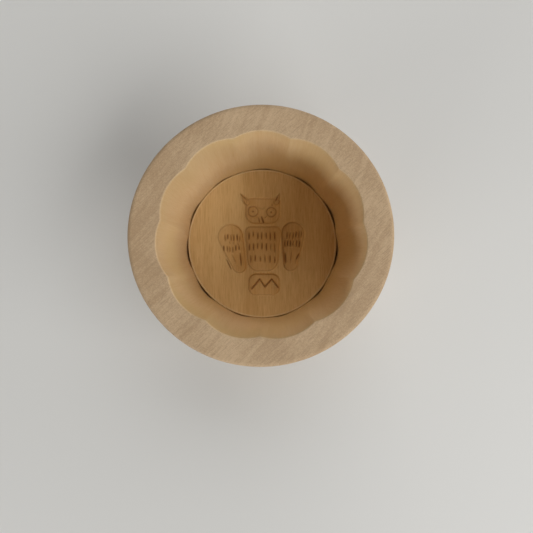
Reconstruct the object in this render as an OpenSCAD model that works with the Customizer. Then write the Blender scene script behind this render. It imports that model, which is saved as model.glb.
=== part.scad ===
// Round wooden butter mould: a fluted case, and a carved print plate that is
// pushed up through it by a short stem in the case's base.
// Origin at the centre of the foot, +Z out of the mould's mouth, millimetres.

/* [Fluted cavity] */
// Number of flutes round the cavity
flute_count = 11; // [8:1:16]
// Radius of the cavity at the deepest line of a flute
cavity_r = 39.2; // [34:0.1:50]
// How far the ridges between the flutes stand in from the deepest line
flute_depth = 1.6; // [0.8:0.1:3]
// Direction of the first flute, from +X towards +Y
flute_turn = 23.9; // [0:0.1:45]
// Depth of the cavity above the print plate
fill_depth = 51.5; // [35:0.5:80]
// Chamfer on the scalloped edge at the mouth
mouth_chamfer = 0.5; // [0.2:0.1:1.5]

/* [Case] */
// Thickness of the wall behind the deepest line of a flute
wall_t = 10.8; // [6:0.1:16]
// Thickness of the base under the print plate
base_t = 7.5; // [5:0.5:15]
// Round-over of the outer edge at the rim
rim_round = 1.9; // [0.5:0.1:3]
// Round-over of the outer edge at the foot
foot_round = 1.6; // [0.5:0.1:3]
// Chamfer of the stem's bore at the foot and at the floor
bore_chamfer = 0.6; // [0.2:0.1:1]

/* [Print plate] */
// Thickness of the print plate
plate_t = 7; // [6:0.5:14]
// Gap between the plate's edge and the ridges of the case
plate_gap = 0.4; // [0.3:0.05:0.8]
// Chamfer round the plate's upper edge
plate_chamfer = 0.6; // [0.2:0.1:1]
// Depth of the carved recesses
print_depth = 1.1; // [0.5:0.1:1.4]

/* [Push stem] */
// Diameter of the stem in the base's bore
stem_d = 22; // [18:0.5:30]
// Running clearance between the stem and its bore, on the radius
stem_gap = 0.08; // [0.04:0.01:0.1]
// How far the stem's end stays up inside the foot
stem_recess = 1; // [0.5:0.1:2]
// Chamfer round the stem's lower end
stem_chamfer = 0.8; // [0.3:0.1:1.2]
// Diameter of the tenon glued into the plate
tenon_d = 12; // [8:0.5:15]
// Length of the tenon
tenon_h = 3.6; // [2:0.1:4]
// Glue room round the tenon, on the radius
tenon_gap = 0.05; // [0.03:0.01:0.1]
// Glue room past the tenon's end
tenon_end_gap = 0.2; // [0.1:0.1:0.3]

/* [Owl print] */
// Half-width of the owl's body at the shoulders
body_half_w = 9.4; // [7:0.1:9.6]
// Length of the body's recess
body_len = 24.2; // [20:0.1:26]
// Radius of the body's round lower end
body_end_r = 6.4; // [5:0.1:7]
// Width of the head
head_w = 18.2; // [14:0.1:19]
// Height of the head
head_h = 13.8; // [11:0.1:15]
// Radius of a wing's broad upper end
wing_r = 6.6; // [5:0.1:6.9]
// Radius of a wing's narrow lower end
wing_tip_r = 3.9; // [3:0.1:4.4]
// Width of the feet's recess
feet_w = 16.4; // [12:0.1:18]
// Height of the feet's recess
feet_h = 12; // [9:0.1:13]

/* [Hidden] */
$fn = 96;
// How far a cutter runs past the face that it cuts
over = 1;
// Straight stretches that make up one rounded corner of a carved outline
corner_steps = 8;

// A flute is the arc of a round cutter; its centre and radius follow from the
// cavity's largest radius and from where two neighbouring flutes meet.
ridge_r = cavity_r - flute_depth;
half_pitch = 180 / flute_count;
flute_centre = (cavity_r * cavity_r - ridge_r * ridge_r)
    / (2 * (cavity_r - ridge_r * cos(half_pitch)));
flute_r = cavity_r - flute_centre;
// Neighbouring flutes meet again at this inner radius, so the core passes it
inner_meet_r = (flute_centre * flute_centre - flute_r * flute_r) / ridge_r;
core_r = (inner_meet_r + ridge_r) / 2;

case_r = cavity_r + wall_t;
case_h = base_t + plate_t + fill_depth;
plate_r = ridge_r - plate_gap;
plate_top = base_t + plate_t;
bore_r = stem_d / 2 + stem_gap;

// Corner circles of the owl's recesses on the plate, each [x, y, radius],
// given anticlockwise round each recess
shoulder_r = 2.6;
shoulder_y = 6.75;
body_x = 0.6;
body_taper = 1.6;
body_low_y = shoulder_y + shoulder_r - body_len + body_end_r;
body_corners = [
    [body_x + body_half_w - shoulder_r, shoulder_y, shoulder_r],
    [body_x - body_half_w + shoulder_r, shoulder_y, shoulder_r],
    [body_x - body_taper, body_low_y, body_end_r],
    [body_x + body_taper, body_low_y, body_end_r],
];
head_x = 0.4;
head_y = 16.9;
brow_r = 2.4;
cheek_r = 5.6;
head_corners = [
    [head_x + head_w / 2 - brow_r, head_y + head_h / 2 - brow_r, brow_r],
    [head_x - head_w / 2 + brow_r, head_y + head_h / 2 - brow_r, brow_r],
    [head_x - head_w / 2 + cheek_r, head_y - head_h / 2 + cheek_r, cheek_r],
    [head_x + head_w / 2 - cheek_r, head_y - head_h / 2 + cheek_r, cheek_r],
];
left_ear = [[-7.4, 20.4, 1.9], [-11.3, 25.4, 0.5]];
right_ear = [[7.2, 20.6, 1.9], [9, 25.8, 0.5]];
left_wing = [[-16.4, 3.9, wing_r], [-11.9, -12.2, wing_tip_r]];
right_wing = [[16.3, 4.7, wing_r], [13.6, -10.4, wing_tip_r]];
feet_x = 1;
feet_y = -21.4;
feet_r = 4.2;
feet_corners = [
    for (side = [[1, 1], [-1, 1], [-1, -1], [1, -1]])
        [feet_x + side[0] * (feet_w / 2 - feet_r), feet_y + side[1] * (feet_h / 2 - feet_r), feet_r]
];

// Direction in which the outer tangent from circle a to circle b faces
function tangent_dir(a, b) = atan2(b[1] - a[1], b[0] - a[0])
    - acos((a[2] - b[2]) / norm([b[0] - a[0], b[1] - a[1]]));

// Points along circle c, anticlockwise from direction start to direction end
function corner_arc(c, start, end) = let (turn = (end - start + 720) % 360)
    [for (i = [0:corner_steps]) let (a = start + turn * i / corner_steps)
        [c[0] + c[2] * cos(a), c[1] + c[2] * sin(a)]];

// Closed outline round corner circles, given anticlockwise
function round_outline(corners) = let (n = len(corners)) [
    for (i = [0:n - 1]) let (last = corners[(i + n - 1) % n], next = corners[(i + 1) % n])
        each corner_arc(corners[i], tangent_dir(last, corners[i]), tangent_dir(corners[i], next))
];

// Half profile of the turned blank, round-overs at foot and rim
module blank_profile() {
    square([case_r - foot_round, case_h - rim_round]);
    square([case_r - max(foot_round, rim_round), case_h]);
    translate([0, foot_round]) square([case_r, case_h - foot_round - rim_round]);
    translate([case_r - foot_round, foot_round]) circle(foot_round);
    translate([case_r - rim_round, case_h - rim_round]) circle(rim_round);
}

// Places its child at each flute's cutter
module at_flutes() {
    for (i = [0:flute_count - 1])
        rotate(flute_turn + i * 360 / flute_count) translate([flute_centre, 0, 0]) children();
}

// Cuts a chamfer of size c round a hole of radius r whose mouth is at z = 0, facing up
module mouth_cutter(r, c) {
    translate([0, 0, -c]) cylinder(r1 = r, r2 = r + c + over, h = c + over);
}

// The fluted hollow, down to the flat floor under the plate
module fluted_hollow() {
    translate([0, 0, base_t]) {
        at_flutes() cylinder(r = flute_r, h = case_h - base_t + over);
        cylinder(r = core_r, h = case_h - base_t + over);
    }
    translate([0, 0, case_h]) at_flutes() mouth_cutter(flute_r, mouth_chamfer);
}

// The stem's bore through the base, chamfered at both ends
module stem_bore() {
    translate([0, 0, -over]) cylinder(r = bore_r, h = base_t + 2 * over);
    translate([0, 0, base_t]) mouth_cutter(bore_r, bore_chamfer);
    mirror([0, 0, 1]) mouth_cutter(bore_r, bore_chamfer);
}

module case() {
    color([0.78, 0.67, 0.53])
    difference() {
        rotate_extrude() blank_profile();
        fluted_hollow();
        stem_bore();
    }
}

// The owl's recesses: head with ears, body, wings and the feet's block
module owl_recess() {
    recesses = [
        head_corners, left_ear, right_ear, body_corners, left_wing, right_wing, feet_corners
    ];
    for (corners = recesses) polygon(round_outline(corners));
}

module print_plate() {
    color([0.66, 0.52, 0.34])
    difference() {
        union() {
            translate([0, 0, base_t]) cylinder(r = plate_r, h = plate_t - plate_chamfer);
            translate([0, 0, plate_top - plate_chamfer])
                cylinder(r1 = plate_r, r2 = plate_r - plate_chamfer, h = plate_chamfer);
        }
        translate([0, 0, plate_top - print_depth])
            linear_extrude(print_depth + over) owl_recess();
        translate([0, 0, base_t - over])
            cylinder(d = tenon_d + 2 * tenon_gap, h = tenon_h + tenon_end_gap + over);
    }
}

module push_stem() {
    color([0.72, 0.60, 0.44])
    union() {
        translate([0, 0, stem_recess]) {
            cylinder(d1 = stem_d - 2 * stem_chamfer, d2 = stem_d, h = stem_chamfer);
            translate([0, 0, stem_chamfer])
                cylinder(d = stem_d, h = base_t - stem_recess - stem_chamfer);
        }
        translate([0, 0, base_t]) cylinder(d = tenon_d, h = tenon_h);
    }
}

case();
print_plate();
push_stem();
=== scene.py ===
"""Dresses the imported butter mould: the turned and fluted case, the carved print plate and
the push stem, with their wood, on a plain pale table under soft light.

Lengths are in millimetres until mesh_object makes them metres."""
import math

import bpy
import numpy as np
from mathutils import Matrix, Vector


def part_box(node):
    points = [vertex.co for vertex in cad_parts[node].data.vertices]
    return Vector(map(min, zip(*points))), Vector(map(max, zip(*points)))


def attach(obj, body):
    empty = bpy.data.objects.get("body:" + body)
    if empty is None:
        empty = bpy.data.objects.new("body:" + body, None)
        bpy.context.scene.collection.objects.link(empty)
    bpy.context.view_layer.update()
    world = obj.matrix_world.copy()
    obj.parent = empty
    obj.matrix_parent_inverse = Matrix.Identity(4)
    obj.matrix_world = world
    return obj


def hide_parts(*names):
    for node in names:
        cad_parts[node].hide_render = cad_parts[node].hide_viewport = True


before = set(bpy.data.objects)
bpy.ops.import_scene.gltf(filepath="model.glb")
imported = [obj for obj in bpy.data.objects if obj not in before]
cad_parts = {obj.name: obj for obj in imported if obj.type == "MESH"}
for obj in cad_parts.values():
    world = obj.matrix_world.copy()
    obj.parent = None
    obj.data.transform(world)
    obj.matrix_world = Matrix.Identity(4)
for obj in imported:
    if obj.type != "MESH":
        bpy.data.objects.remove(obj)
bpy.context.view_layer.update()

MM = 0.001

# Sizes from the frame
_, case_high = (np.array(corner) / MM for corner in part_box("case"))
plate_low, plate_high = (np.array(corner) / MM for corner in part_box("print_plate"))
stem_low, stem_high = (np.array(corner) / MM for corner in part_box("push_stem"))
CASE_R = case_high[0]
CASE_H = case_high[2]
PLATE_BOTTOM = plate_low[2]
PLATE_TOP = plate_high[2]
STEM_R = stem_high[0]
STEM_LOW = stem_low[2]

# The case's own sizes, as in the construction
FLUTES = 11
FLUTE_TURN = math.radians(23.9)
RIM_ROUND = 1.9
FOOT_ROUND = 1.6
MOUTH_EASE = 0.55
BORE_R = STEM_R + 0.08
BORE_CHAMFER = 0.6

# The wood has dried slightly oval: the sizes are those along the oval's long axis, and
# this share is missing across it. The flutes also sit a little to one side of the centre.
CAVITY_R = 39.5
FLUTE_DEPTH = 1.6
OVAL = 0.018
OVAL_TURN = math.radians(8)
FLUTE_SHIFT = 0.3
# The outside lies this far inside the construction's, and wavers by as much as WAVER
OUTSIDE_INSET = 0.03
WAVER = 0.04
# The flutes run out towards the floor, into the plain round bore that the plate fits
BORE_WALL_R = 37.19
FLUTE_TAPER = 1.5
TAPER_POWER = 1.5
RIDGE_WEAR = 0.07
POINTS_A_FLUTE = 72

# The plate's sizes. LIGHT_EDGE is the band in which a painted highlight lightens it towards its
# rounded edge
PLATE_R = 37.12
PLATE_CHAMFER = 0.8
LIGHT_EDGE = 0.25
LOWER_CHAMFER = 0.2
SOCKET_R = 6.05
SOCKET_H = 3.8
# The grid that carries the carving
GRID_LOW = (-23.6, -27.0)
GRID_HIGH = (22.4, 26.5)
GRID_CELL = 0.25

# The stem's sizes
STEM_END_ROUND = 0.8
STEM_POINTS = 160
SHOULDER_CHAMFER = 0.2
TENON_R = 6.0
TENON_H = 3.6


def mesh_object(name, verts_mm, faces, smooth=True):
    """A mesh object from points in millimetres."""
    mesh = bpy.data.meshes.new(name)
    mesh.from_pydata((np.asarray(verts_mm) * MM).tolist(), [], faces)
    mesh.polygons.foreach_set("use_smooth", [smooth] * len(mesh.polygons))
    mesh.update()
    obj = bpy.data.objects.new(name, mesh)
    bpy.context.collection.objects.link(obj)
    return obj


def ring_quads(first, second, count):
    """Quads between two rings of the same number of points."""
    return [
        (first + k, first + (k + 1) % count, second + (k + 1) % count, second + k)
        for k in range(count)
    ]


def set_values(obj, name, values):
    """Stores one number a point, for the material to read."""
    obj.data.attributes.new(name, "FLOAT", "POINT").data.foreach_set("value", values)


def quarter(steps):
    """Angles of a quarter turn, in this many points, without the first."""
    return np.linspace(0, math.pi / 2, steps)[1:]


# Outlines of the owl's hollows


def tangent_dir(a, b):
    """Direction in which the outer tangent from circle a to circle b faces."""
    run = math.hypot(b[0] - a[0], b[1] - a[1])
    return math.atan2(b[1] - a[1], b[0] - a[0]) - math.acos((a[2] - b[2]) / run)


def round_outline(corners, steps=14):
    """Closed outline round corner circles (x, y, radius), given anticlockwise."""
    points = []
    for k, (cx, cy, radius) in enumerate(corners):
        start = tangent_dir(corners[k - 1], corners[k])
        end = tangent_dir(corners[k], corners[(k + 1) % len(corners)])
        turn = (end - start) % (2 * math.pi)
        for step in range(steps + 1):
            angle = start + turn * step / steps
            points.append((cx + radius * math.cos(angle), cy + radius * math.sin(angle)))
    return np.array(points)


def inside_distance(x, y, outline):
    """Distance of each point inside the outline from its edge, 0 outside."""
    nearest = np.full(x.shape, 1e9)
    inside = np.zeros(x.shape, bool)
    for (ax, ay), (bx, by) in zip(outline, np.roll(outline, -1, axis=0)):
        run = (bx - ax) ** 2 + (by - ay) ** 2
        if run < 1e-9:
            continue
        t = np.clip(((x - ax) * (bx - ax) + (y - ay) * (by - ay)) / run, 0, 1)
        nearest = np.minimum(nearest, np.hypot(x - ax - t * (bx - ax), y - ay - t * (by - ay)))
        if ay != by:
            crosses = (ay > y) != (by > y)
            inside ^= crosses & (x < (bx - ax) * (y - ay) / (by - ay) + ax)
    return np.where(inside, nearest, 0.0)


# The owl, in millimetres from the plate's centre

# Corner circles of each hollow's outline: x, y and radius
HEAD = [(6.6, 20.3, 2.6), (-6.0, 20.4, 2.5), (-3.6, 14.9, 5.1), (4.0, 14.8, 5.1)]
LEFT_EAR = [(-7.6, 20.6, 1.7), (-11.0, 25.0, 0.35)]
RIGHT_EAR = [(7.1, 20.9, 1.8), (8.8, 25.1, 0.35)]
BODY = [(6.7, 5.9, 2.9), (-5.9, 5.9, 2.9), (-1.6, -8.0, 6.1), (2.2, -8.0, 6.1)]
LEFT_WING = [(-16.0, 3.4, 6.6), (-11.5, -11.3, 3.7)]
RIGHT_WING = [(15.4, 5.0, 6.0), (14.2, -10.2, 3.8)]
FEET = [(4.9, -18.8, 3.9), (-3.1, -18.8, 3.9), (-3.1, -22.2, 4.0), (4.9, -22.2, 4.0)]
# Each hollow: its outline, how deep it is and how wide the slope down from its edge is
HOLLOWS = [
    (HEAD, 1.2, 1.5),
    (LEFT_EAR, 1.0, 1.0),
    (RIGHT_EAR, 1.0, 1.0),
    (BODY, 1.35, 1.8),
    (LEFT_WING, 1.35, 1.8),
    (RIGHT_WING, 1.35, 1.8),
    (FEET, 1.15, 1.5),
]
# The knife's stop cut runs just inside each outline
STOP_CUT_IN, STOP_CUT_HALF_W, STOP_CUT_DEPTH = 0.55, 0.38, 0.42

# Gouge cuts: x and y of the two ends, half-width and depth below the hollow
CUTS = [
    # Long feathers of the left wing
    (-18.1, -7.3, -15.2, -13.6, 0.55, 0.85),
    (-15.3, -5.0, -13.0, -10.2, 0.45, 0.55),
    (-11.2, -4.3, -10.5, -11.6, 0.55, 0.95),
    (-12.3, -9.6, -11.5, -14.0, 0.40, 0.35),
    # Long feathers of the right wing
    (11.4, -4.4, 11.6, -10.2, 0.60, 1.00),
    (15.0, -2.8, 14.1, -10.0, 0.45, 0.55),
    (18.8, -4.4, 17.0, -8.2, 0.55, 0.90),
    (17.2, -7.6, 16.8, -10.4, 0.40, 0.40),
    # Beak
    (-1.9, 13.6, -1.3, 10.0, 0.50, 0.75),
    (-0.5, 14.0, 0.9, 9.8, 0.60, 1.00),
    # Brow and the bridge of the beak
    (-2.6, 18.4, 0.3, 17.1, 0.40, 0.35),
    (0.1, 17.1, 1.7, 18.4, 0.40, 0.35),
    (-3.4, 13.9, -2.4, 13.3, 0.40, 0.45),
    (1.2, 13.3, 2.6, 13.9, 0.40, 0.45),
    # Inside the ears
    (-10.8, 25.0, -7.4, 21.2, 0.45, 0.55),
    (-10.9, 22.6, -8.4, 19.0, 0.40, 0.40),
    (7.9, 24.0, 6.5, 21.2, 0.60, 0.80),
    (9.0, 21.9, 8.0, 19.7, 0.45, 0.70),
    (4.7, 20.4, 5.3, 18.8, 0.40, 0.50),
    # Claws: short nicks below the chevron
    (-1.4, -21.6, -1.4, -23.4, 0.35, 0.30),
    (1.2, -22.0, 1.2, -23.4, 0.35, 0.30),
    (4.7, -21.6, 4.7, -23.0, 0.35, 0.25),
    # Bolder cuts down the right side of the body
    (6.3, 6.2, 6.3, 1.8, 0.50, 0.95),
    (6.4, -1.6, 6.4, -4.6, 0.45, 0.75),
    (6.4, -7.0, 6.3, -10.0, 0.50, 0.85),
]
# The chevron of the claws, cut from point to point
CHEVRON = [(-5.2, -22.7), (-1.3, -17.9), (1.3, -21.8), (4.8, -17.9), (7.9, -22.1)]
CHEVRON_HALF_W, CHEVRON_DEPTH = 0.62, 0.95

# Rows of short feather cuts: first x, last x, count, top y, length, lean, half-width, depth
FEATHER_ROWS = [
    (-18.9, -11.4, 6, 4.7, 3.9, 0.15, 0.52, 0.85),
    (-19.3, -11.8, 6, -0.9, 3.4, 0.10, 0.52, 0.85),
    (-16.6, -12.6, 3, 1.2, 2.2, 0.5, 0.38, 0.50),
    (12.8, 20.0, 6, 6.3, 4.2, -0.45, 0.52, 0.85),
    (11.4, 18.8, 6, 2.0, 4.2, -0.25, 0.52, 0.85),
    (-6.6, 6.4, 7, 6.0, 4.2, 0.0, 0.55, 0.80),
    (-6.6, 6.4, 7, 0.3, 4.4, 0.0, 0.55, 0.80),
    (-5.8, 6.2, 6, -5.8, 4.2, 0.0, 0.55, 0.80),
]
# How unevenly the hand cuts them: sideways, up and down, in length and in depth
FEATHER_SEED = 7
SIDE_SLIP = 0.15
TOP_SLIP = 0.4
LENGTH_SHARES = (0.75, 1.1)
DEPTH_SHARES = (0.7, 1.2)

# Eyes: centre, radius, half-width and depth of the ring, and the pupil's radius
EYES = [(-4.7, 16.2, 2.5, 0.55, 0.60, 0.75), (4.6, 15.9, 2.35, 0.50, 0.55, 0.6)]
PUPIL_DEPTH = 0.7


def cut_depth(x, y, ax, ay, bx, by, half_w, depth):
    """A canoe-shaped gouge cut from (ax, ay) to (bx, by)."""
    run = math.hypot(bx - ax, by - ay)
    ux, uy = (bx - ax) / run, (by - ay) / run
    along = ((x - ax) * ux + (y - ay) * uy) / run
    across = np.abs((y - ay) * ux - (x - ax) * uy) / half_w
    taper = np.clip(4 * along * (1 - along), 0, 1) ** 0.5
    return depth * np.clip(taper - across ** 1.5, 0, 1)


def line_depth(x, y, ax, ay, bx, by, half_w, depth):
    """A cut of even depth from (ax, ay) to (bx, by), with round ends."""
    run = (bx - ax) ** 2 + (by - ay) ** 2
    t = np.clip(((x - ax) * (bx - ax) + (y - ay) * (by - ay)) / run, 0, 1)
    away = np.hypot(x - ax - t * (bx - ax), y - ay - t * (by - ay)) / half_w
    return depth * np.clip(1 - away ** 1.4, 0, 1)


def eye_depth(x, y, cx, cy, ring_r, ring_half_w, ring_depth, pupil_r):
    """An eye: a ring cut round a pupil."""
    away = np.hypot(x - cx, y - cy)
    ring = ring_depth * np.clip(1 - (np.abs(away - ring_r) / ring_half_w) ** 1.5, 0, 1)
    return np.maximum(ring, PUPIL_DEPTH * np.clip(1 - (away / pupil_r) ** 2, 0, 1))


def feather_cuts():
    """The short feather cuts, row by row."""
    rng = np.random.default_rng(FEATHER_SEED)
    for first, last, count, top, length, lean, half_w, depth in FEATHER_ROWS:
        for k in range(count):
            x = first + (last - first) * k / (count - 1) + rng.uniform(-SIDE_SLIP, SIDE_SLIP)
            high = top + rng.uniform(-TOP_SLIP, TOP_SLIP)
            low = high - length * rng.uniform(*LENGTH_SHARES)
            yield x, high, x + lean, low, half_w, depth * rng.uniform(*DEPTH_SHARES)


def owl_depth(x, y):
    """Depth of the carving, and how much of it is fine cuts, at each point."""
    hollow = np.zeros(x.shape)
    cuts = np.zeros(x.shape)
    for corners, depth, slope in HOLLOWS:
        inward = inside_distance(x, y, round_outline(corners))
        hollow = np.maximum(hollow, depth * (1 - (1 - np.clip(inward / slope, 0, 1)) ** 2))
        stop = STOP_CUT_DEPTH * np.exp(-(((inward - STOP_CUT_IN) / STOP_CUT_HALF_W) ** 2))
        cuts = np.maximum(cuts, np.where(inward > 0, stop, 0))
    for cut in CUTS + list(feather_cuts()):
        cuts = np.maximum(cuts, cut_depth(x, y, *cut))
    for start, end in zip(CHEVRON, CHEVRON[1:]):
        cuts = np.maximum(cuts, line_depth(x, y, *start, *end, CHEVRON_HALF_W, CHEVRON_DEPTH))
    for eye in EYES:
        cuts = np.maximum(cuts, eye_depth(x, y, *eye))
    return hollow + cuts, cuts


# The case


def ovalled(theta):
    """Share of its radius that the ovalled wood has in each direction."""
    return 1 - OVAL * np.sin(theta - OVAL_TURN) ** 2


def worn_max(a, b):
    """The larger of the two, rounded off where they cross."""
    return (a + b) / 2 + np.sqrt(((a - b) / 2) ** 2 + RIDGE_WEAR ** 2) - RIDGE_WEAR / 2


def flute_radius(theta, z):
    """Radius of the wall at height z: tapering round flutes that meet in worn ridges,
    which widen with depth into lands of the plain bore."""
    half_pitch = math.pi / FLUTES
    ridge = CAVITY_R - FLUTE_DEPTH
    centre = (CAVITY_R ** 2 - ridge ** 2) / (2 * (CAVITY_R - ridge * math.cos(half_pitch)))
    depth = (CASE_H - z) / (CASE_H - PLATE_BOTTOM)
    arc = CAVITY_R - centre - FLUTE_TAPER * depth ** TAPER_POWER
    t = np.abs((theta - FLUTE_TURN + half_pitch) % (2 * half_pitch) - half_pitch)
    own, neighbour = (
        centre * np.cos(u) + np.sqrt(arc ** 2 - (centre * np.sin(u)) ** 2)
        for u in (t, 2 * half_pitch - t)
    )
    flutes = worn_max(own, neighbour) * ovalled(theta)
    return worn_max(flutes + FLUTE_SHIFT * (1 - depth) * np.cos(theta), BORE_WALL_R)


def make_case():
    """The turned and fluted case, as rings of points round a closed section."""
    count = FLUTES * POINTS_A_FLUTE
    theta = np.arange(count) * 2 * math.pi / count
    mouth = flute_radius(theta, CASE_H)
    outer = (CASE_R - OUTSIDE_INSET) * ovalled(theta) - WAVER * (1 + np.sin(3 * theta + 1.0)) / 2
    rings, inside = [], []

    def ring(radius, z, soaked_and_lit=0.0):
        radius, z = np.broadcast_to(radius, theta.shape), np.broadcast_to(z, theta.shape)
        rings.append(np.stack([radius * np.cos(theta), radius * np.sin(theta), z], axis=1))
        inside.append(np.full(count, soaked_and_lit))

    # Foot, its round edge, the outside, the round edge of the rim and the rim
    foot_in = BORE_R + BORE_CHAMFER
    for t in np.linspace(0, 1, 12):
        ring(foot_in + (outer - FOOT_ROUND - foot_in) * t, 0.0)
    for a in quarter(9):
        ring(outer - FOOT_ROUND * (1 - math.sin(a)), FOOT_ROUND * (1 - math.cos(a)))
    for z in np.linspace(FOOT_ROUND, CASE_H - RIM_ROUND, 40)[1:]:
        ring(outer, z)
    for a in quarter(12):
        ring(outer - RIM_ROUND * (1 - math.cos(a)), CASE_H - RIM_ROUND * (1 - math.sin(a)))
    for t in np.linspace(0, 1, 24)[1:]:
        ring(outer - RIM_ROUND + (mouth + MOUTH_EASE - outer + RIM_ROUND) * t, CASE_H)
    # Eased mouth, fluted wall, floor and bore
    for a in quarter(8):
        z = CASE_H - MOUTH_EASE * (1 - math.cos(a))
        ring(flute_radius(theta, z) + MOUTH_EASE * (1 - math.sin(a)), z, a / math.pi * 2)
    for z in np.linspace(CASE_H - MOUTH_EASE, PLATE_BOTTOM, 64)[1:]:
        ring(flute_radius(theta, z), z, 1.0)
    floor_out = flute_radius(theta, PLATE_BOTTOM)
    for t in np.linspace(0, 1, 10)[1:]:
        ring(floor_out + (foot_in - floor_out) * t, PLATE_BOTTOM, 1.0)
    ring(BORE_R, PLATE_BOTTOM - BORE_CHAMFER)
    ring(BORE_R, BORE_CHAMFER)

    faces = []
    for k in range(len(rings)):
        faces += ring_quads(k * count, (k + 1) % len(rings) * count, count)
    obj = mesh_object("fluted_case", np.concatenate(rings), faces)
    set_values(obj, "inside", np.concatenate(inside))
    return obj


# The plate and the stem


def make_plate():
    """The print plate: a grid for the carving, rings out to its edge, and its underside."""
    low, high = np.array(GRID_LOW), np.array(GRID_HIGH)
    nx, ny = np.round((high - low) / GRID_CELL).astype(int)
    gx, gy = np.meshgrid(
        np.linspace(low[0], high[0], nx + 1), np.linspace(low[1], high[1], ny + 1)
    )
    depth, cuts = owl_depth(gx, gy)
    points = [np.stack([gx.ravel(), gy.ravel(), (PLATE_TOP - depth).ravel()], axis=1)]
    carve = [depth.ravel()]
    fine = [cuts.ravel()]
    painted_edge_light = [np.zeros(depth.size)]
    at = np.arange((nx + 1) * (ny + 1)).reshape(ny + 1, nx + 1)
    a, b, c, d = at[:-1, :-1], at[:-1, 1:], at[1:, 1:], at[1:, :-1]
    faces = np.stack([a, b, c, d], axis=-1).reshape(-1, 4).tolist()

    border = np.concatenate([at[0, :-1], at[:-1, -1], at[-1, :0:-1], at[:0:-1, 0]])
    count = len(border)
    edge = points[0][border]
    angle = np.arctan2(edge[:, 1], edge[:, 0])
    circle = np.stack([np.cos(angle), np.sin(angle)], axis=1)
    used = len(points[0])
    last = border

    def ring(xy, z, edge_light_share=0.0):
        nonlocal used, last
        this = used + np.arange(count)
        points.append(np.column_stack([xy, np.full(count, z)]))
        carve.append(np.zeros(count))
        fine.append(np.zeros(count))
        painted_edge_light.append(np.full(count, edge_light_share))
        nxt = np.roll(np.arange(count), -1)
        faces.extend(np.stack([last, this, this[nxt], last[nxt]], axis=1).tolist())
        used += count
        last = this

    # From the grid's square border out to the round edge
    top_r = PLATE_R - PLATE_CHAMFER
    flat_r = top_r - LIGHT_EDGE
    for t in np.linspace(0, 1, 7)[1:-1]:
        ring(edge[:, :2] * (1 - t) + circle * flat_r * t, PLATE_TOP)
    ring(circle * flat_r, PLATE_TOP)
    # Rounded edge with its painted highlight, side, underside and the socket for the stem
    for a in np.linspace(0, math.pi / 2, 6):
        ring(circle * (top_r + PLATE_CHAMFER * math.sin(a)),
             PLATE_TOP - PLATE_CHAMFER * (1 - math.cos(a)), 1.0)
    for z in np.linspace(PLATE_TOP - PLATE_CHAMFER, PLATE_BOTTOM + LOWER_CHAMFER, 6)[1:]:
        ring(circle * PLATE_R, z)
    ring(circle * (PLATE_R - LOWER_CHAMFER), PLATE_BOTTOM)
    for r in np.linspace(PLATE_R - LOWER_CHAMFER, SOCKET_R, 5)[1:]:
        ring(circle * r, PLATE_BOTTOM)
    ring(circle * SOCKET_R, PLATE_BOTTOM + SOCKET_H)
    faces.append(last[::-1].tolist())

    obj = mesh_object("carved_print_plate", np.concatenate(points), faces)
    set_values(obj, "carve", np.concatenate(carve))
    set_values(obj, "fine", np.concatenate(fine))
    set_values(obj, "painted_edge_light", np.concatenate(painted_edge_light))
    return obj


def make_stem():
    """The turned push stem with its tenon."""
    theta = np.arange(STEM_POINTS) * 2 * math.pi / STEM_POINTS
    profile = [(STEM_R * k / 8, STEM_LOW) for k in range(1, 8)]
    for a in np.linspace(0, math.pi / 2, 7):
        profile.append((STEM_R - STEM_END_ROUND * (1 - math.sin(a)),
                        STEM_LOW + STEM_END_ROUND * (1 - math.cos(a))))
    profile += [
        (STEM_R, PLATE_BOTTOM - SHOULDER_CHAMFER),
        (STEM_R - SHOULDER_CHAMFER, PLATE_BOTTOM),
        (TENON_R, PLATE_BOTTOM),
        (TENON_R, PLATE_BOTTOM + TENON_H),
    ]
    points = [
        np.stack([r * np.cos(theta), r * np.sin(theta), np.full(STEM_POINTS, z)], axis=1)
        for r, z in profile
    ]
    faces = []
    for k in range(len(profile) - 1):
        faces += ring_quads(k * STEM_POINTS, (k + 1) * STEM_POINTS, STEM_POINTS)
    faces.append(list(range(STEM_POINTS))[::-1])
    faces.append(list(range((len(profile) - 1) * STEM_POINTS, len(profile) * STEM_POINTS)))
    return mesh_object("turned_push_stem", np.concatenate(points), faces)


# Materials

# How much longer than wide the wood's marks are, as a scale along the fibres
ALONG_FIBRES = 0.05
# How far the growth rings wander, and how many there are in a millimetre
RING_WANDER = 6.0
RINGS_A_MM = 0.45
# How much the tone owes to the rings, the fibres and the broad clouds
RING_SHARE, FIBRE_SHARE, CLOUD_SHARE = 0.18, 0.42, 0.40
# How much a pore darkens the wood
PORE_TONE = 0.55
# The grain's bump: its strength and its height
BUMP_STRENGTH = 0.3
BUMP_HEIGHT = 0.12
WOOD_GLOSS = 0.3


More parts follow.
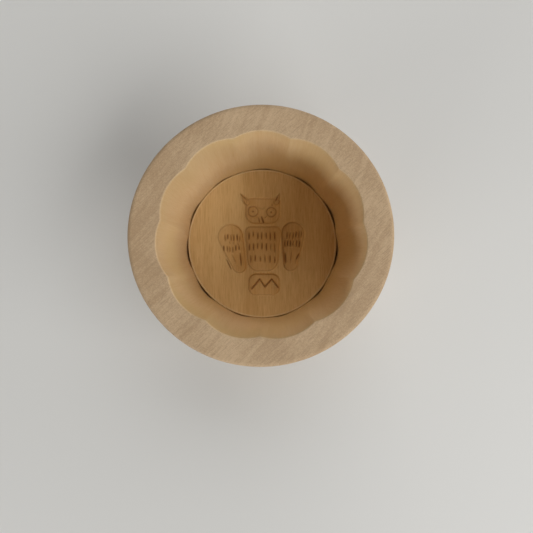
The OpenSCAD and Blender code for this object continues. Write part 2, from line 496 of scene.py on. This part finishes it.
class Nodes:
    """Short helpers for building one material's node tree."""

    def __init__(self, name):
        self.material = bpy.data.materials.new(name)
        self.material.use_nodes = True
        self.tree = self.material.node_tree
        self.shader = next(n for n in self.tree.nodes if n.type == "BSDF_PRINCIPLED")

    def add(self, kind, inputs=None, **settings):
        node = self.tree.nodes.new(kind)
        for key, value in settings.items():
            setattr(node, key, value)
        for key, value in (inputs or {}).items():
            self.put(value, node.inputs[key])
        return node

    def put(self, value, socket):
        if isinstance(value, bpy.types.NodeSocket):
            self.tree.links.new(value, socket)
        else:
            socket.default_value = value

    def math(self, operation, a, b, clamp=False):
        node = self.add("ShaderNodeMath", {0: a, 1: b}, operation=operation, use_clamp=clamp)
        return node.outputs[0]

    def ramp(self, value, low, high, out_low=0.0, out_high=1.0):
        node = self.add(
            "ShaderNodeMapRange",
            {"Value": value, "From Min": low, "From Max": high, "To Min": out_low,
             "To Max": out_high},
            interpolation_type="SMOOTHSTEP",
        )
        return node.outputs["Result"]

    def scaled(self, vector, scale):
        node = self.add("ShaderNodeVectorMath", {0: vector, 1: scale}, operation="MULTIPLY")
        return node.outputs[0]

    def noise(self, vector, scale=1.0, detail=2.0, roughness=0.5):
        node = self.add(
            "ShaderNodeTexNoise",
            {"Vector": vector, "Scale": scale, "Detail": detail, "Roughness": roughness},
        )
        return node.outputs["Fac"]

    def mix(self, factor, a, b):
        node = self.add("ShaderNodeMix", data_type="RGBA")
        self.put(factor, node.inputs[0])
        self.put(a, node.inputs[6])
        self.put(b, node.inputs[7])
        return node.outputs[2]

    def attribute(self, name):
        return self.add("ShaderNodeAttribute", attribute_name=name).outputs["Fac"]

    def link(self, output, name):
        self.tree.links.new(output, self.shader.inputs[name])


def srgb(r, g, b):
    """A colour from its 8-bit screen values."""
    def linear(v):
        v /= 255
        return v / 12.92 if v <= 0.04045 else ((v + 0.055) / 1.055) ** 2.4
    return (linear(r), linear(g), linear(b), 1.0)


def wood(name, grain, pith):
    """Close-grained wood. grain is 'Z' or 'Y', the way its fibres run, and pith a point
    on the middle of the tree. Returns the node tree, the place in millimetres, how deep
    the tone is there, and the grain's relief."""
    n = Nodes(name)
    coords = n.add("ShaderNodeTexCoord").outputs["Object"]
    mm = n.scaled(coords, (1 / MM,) * 3)
    stretch = {"Z": (1.0, 1.0, ALONG_FIBRES), "Y": (1.0, ALONG_FIBRES, 1.0)}[grain]
    cross = {"Z": (1.0, 1.0, 0.0), "Y": (1.0, 0.0, 1.0)}[grain]
    fibre = n.scaled(mm, stretch)
    # Growth rings round a pith that lies outside the piece
    shifted = n.add("ShaderNodeVectorMath", {0: mm, 1: pith}, operation="SUBTRACT").outputs[0]
    radius = n.add(
        "ShaderNodeVectorMath", {0: n.scaled(shifted, cross)}, operation="LENGTH"
    ).outputs["Value"]
    wander = n.math("MULTIPLY", n.noise(fibre, scale=0.04), RING_WANDER)
    radius = n.math("ADD", radius, wander)
    rings = n.add(
        "ShaderNodeTexNoise",
        {"W": n.math("MULTIPLY", radius, RINGS_A_MM), "Detail": 2.0, "Roughness": 0.6,
         "Scale": 1.0},
        noise_dimensions="1D",
    ).outputs["Fac"]
    fibres = n.noise(fibre, scale=2.0, detail=3.0, roughness=0.65)
    pores = n.noise(fibre, scale=4.2, detail=1.0)
    cloud = n.noise(fibre, scale=0.05)
    tone = n.math("ADD", n.math("MULTIPLY", rings, RING_SHARE),
                  n.math("MULTIPLY", fibres, FIBRE_SHARE))
    tone = n.math("ADD", tone, n.math("MULTIPLY", cloud, CLOUD_SHARE))
    tone = n.ramp(tone, 0.36, 0.64)
    speck = n.ramp(pores, 0.60, 0.74)
    relief = n.math("SUBTRACT", n.math("MULTIPLY", fibres, 0.6), n.math("MULTIPLY", speck, 0.35))
    tone = n.math("ADD", tone, n.math("MULTIPLY", speck, PORE_TONE), clamp=True)
    return n, mm, tone, relief


def finish_wood(n, colour, relief, roughness=0.62):
    """Gives the shader its colour, the grain's bump and its gloss."""
    bump = n.add(
        "ShaderNodeBump",
        {"Height": relief, "Strength": BUMP_STRENGTH, "Distance": BUMP_HEIGHT * MM},
    )
    n.link(bump.outputs["Normal"], "Normal")
    n.link(colour, "Base Color")
    n.shader.inputs["Roughness"].default_value = roughness
    n.shader.inputs["Specular IOR Level"].default_value = WOOD_GLOSS
    return n.material


def case_material():
    """Bare sanded wood outside; inside, butter-soaked wood painted lighter than the outside, as
    painted light on the cavity.
    """
    n, mm, tone, relief = wood("case_wood", "Z", (-150.0, 90.0, 0.0))
    # Sanding scratches across the rim, run one way
    turned = n.add("ShaderNodeVectorRotate", {"Vector": mm, "Angle": math.radians(-42)},
                   rotation_type="Z_AXIS").outputs[0]
    scratch = n.noise(n.scaled(turned, (0.15, 2.6, 1.0)), detail=3.0, roughness=0.7)
    normal = n.add("ShaderNodeNewGeometry").outputs["Normal"]
    up = n.add("ShaderNodeSeparateXYZ", {0: normal}).outputs["Z"]
    lines = n.math("MULTIPLY", n.ramp(scratch, 0.48, 0.68), n.ramp(up, 0.85, 0.98))
    outside = n.mix(tone, srgb(202, 174, 139), srgb(174, 145, 111))
    outside = n.mix(n.math("MULTIPLY", lines, 0.55), outside, srgb(158, 132, 102))
    # Inside: butter-soaked tint, painted lighter than the outside as painted light on the
    # cavity's walls and floor
    soaked_and_lit = n.mix(tone, srgb(222, 193, 150), srgb(214, 181, 135))
    # Butter has soaked in a little unevenly
    patches = n.ramp(n.noise(mm, scale=0.03, detail=1.0), 0.35, 0.65)
    soaked_and_lit = n.mix(n.math("MULTIPLY", patches, 0.5), soaked_and_lit, srgb(214, 187, 132))
    colour = n.mix(n.attribute("inside"), outside, soaked_and_lit)
    return finish_wood(n, colour, n.math("SUBTRACT", relief, n.math("MULTIPLY", lines, 0.5)))


def plate_material():
    """Buttery wood, with a painted highlight on its rounded edge and painted shade in the
    carving.
    """
    n, _, tone, relief = wood("plate_wood", "Y", (30.0, 0.0, -140.0))
    colour = n.mix(tone, srgb(234, 202, 146), srgb(208, 170, 112))
    # Painted highlight: lighter towards the plate's rounded edge, where light catches it
    edge = n.math("MULTIPLY", n.attribute("painted_edge_light"), 0.8)
    colour = n.mix(edge, colour, srgb(244, 222, 180))
    # Painted shade: darker the deeper the hollows and the fine cuts are
    hollow_shade = n.ramp(n.attribute("carve"), 0.1, 1.4, 0.0, 0.35)
    colour = n.mix(hollow_shade, colour, srgb(208, 160, 92))
    cuts = n.ramp(n.attribute("fine"), 0.1, 0.8, 0.0, 0.65)
    colour = n.mix(cuts, colour, srgb(140, 86, 34))
    return finish_wood(n, colour, relief, roughness=0.58)


def stem_material():
    """Plain bare wood."""
    n, _, tone, relief = wood("stem_wood", "Z", (-30.0, 12.0, 0.0))
    return finish_wood(n, n.mix(tone, srgb(200, 174, 138), srgb(184, 154, 114)), relief)


def plain_material(name, colour, roughness):
    n = Nodes(name)
    n.shader.inputs["Base Color"].default_value = colour
    n.shader.inputs["Roughness"].default_value = roughness
    return n.material


# Put together

case = make_case()
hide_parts("case")
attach(case, "case")
case.data.materials.append(case_material())

plate = make_plate()
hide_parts("print_plate")
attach(plate, "plunger")
plate.data.materials.append(plate_material())

stem = make_stem()
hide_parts("push_stem")
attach(stem, "plunger")
stem.data.materials.append(stem_material())


# Table, light and camera

TABLE_HALF = 1500.0
LAMP_DISTANCE_M = 2.0
# Lamps: name, azimuth, elevation, width and height in metres, and how much light a
# surface that faces it gets
LAMPS = [
    ("window", -36, 38, 2.4, 1.1, 2.55),
    ("second_window", 72, 40, 2.4, 1.3, 1.35),
    ("low_light", 225, 13, 1.2, 0.5, 0.95),
]
ROOM_LIGHT = 0.08
# The camera: its focal length in pixels of the photograph, and its place from the rim
FRAME_PX = 533.0
FOCAL_PX = 400.0
CAMERA_ABOVE_RIM, CAMERA_X, CAMERA_Y = 148.1, 2.1, -11.45


def make_table():
    half = TABLE_HALF
    table = mesh_object(
        "table", [(-half, -half, 0), (half, -half, 0), (half, half, 0), (-half, half, 0)],
        [(0, 1, 2, 3)], smooth=False,
    )
    table.data.materials.append(plain_material("table_top", srgb(222, 221, 217), 0.55))


def soft_lamp(name, azimuth, elevation, width, height, irradiance):
    """A broad white lamp that faces the mould."""
    lamp = bpy.data.lights.new(name, "AREA")
    lamp.shape = "RECTANGLE"
    lamp.size, lamp.size_y = width, height
    lamp.energy = irradiance * math.pi * LAMP_DISTANCE_M ** 2
    obj = bpy.data.objects.new(name, lamp)
    a, e = math.radians(azimuth), math.radians(elevation)
    obj.location = (
        LAMP_DISTANCE_M * math.cos(e) * math.cos(a),
        LAMP_DISTANCE_M * math.cos(e) * math.sin(a),
        LAMP_DISTANCE_M * math.sin(e) + CASE_H * MM,
    )
    obj.rotation_euler = (math.pi / 2 - e, 0, a + math.pi / 2)
    bpy.context.collection.objects.link(obj)


def make_world():
    """A little light from all round, and a backdrop as pale as the table, which only the
    camera and the wood's gloss see."""
    world = bpy.data.worlds.new("soft_room")
    world.use_nodes = True
    nodes, links = world.node_tree.nodes, world.node_tree.links
    light = nodes["Background"]
    light.inputs["Color"].default_value = (1.0, 1.0, 1.0, 1.0)
    light.inputs["Strength"].default_value = ROOM_LIGHT
    backdrop = nodes.new("ShaderNodeBackground")
    backdrop.inputs["Color"].default_value = srgb(206, 205, 202)
    path = nodes.new("ShaderNodeLightPath")
    seen = path.outputs["Is Camera Ray"]
    for kind in ("Is Glossy Ray", "Is Transmission Ray"):
        either = nodes.new("ShaderNodeMath")
        either.operation = "MAXIMUM"
        links.new(seen, either.inputs[0])
        links.new(path.outputs[kind], either.inputs[1])
        seen = either.outputs[0]
    mix = nodes.new("ShaderNodeMixShader")
    links.new(seen, mix.inputs[0])
    links.new(light.outputs[0], mix.inputs[1])
    links.new(backdrop.outputs[0], mix.inputs[2])
    links.new(mix.outputs[0], nodes["World Output"].inputs["Surface"])
    bpy.context.scene.world = world


def make_camera():
    """Straight down, at the photograph's distance, a little off the mould's axis."""
    camera = bpy.data.cameras.new("camera")
    camera.sensor_width = 36.0
    camera.lens = FOCAL_PX / FRAME_PX * camera.sensor_width
    camera.clip_start = 0.01
    obj = bpy.data.objects.new("camera", camera)
    obj.location = (CAMERA_X * MM, CAMERA_Y * MM, (CASE_H + CAMERA_ABOVE_RIM) * MM)
    bpy.context.collection.objects.link(obj)
    bpy.context.scene.camera = obj


make_table()
make_world()
for lamp_values in LAMPS:
    soft_lamp(*lamp_values)
make_camera()
bpy.context.scene.view_settings.view_transform = "Standard"
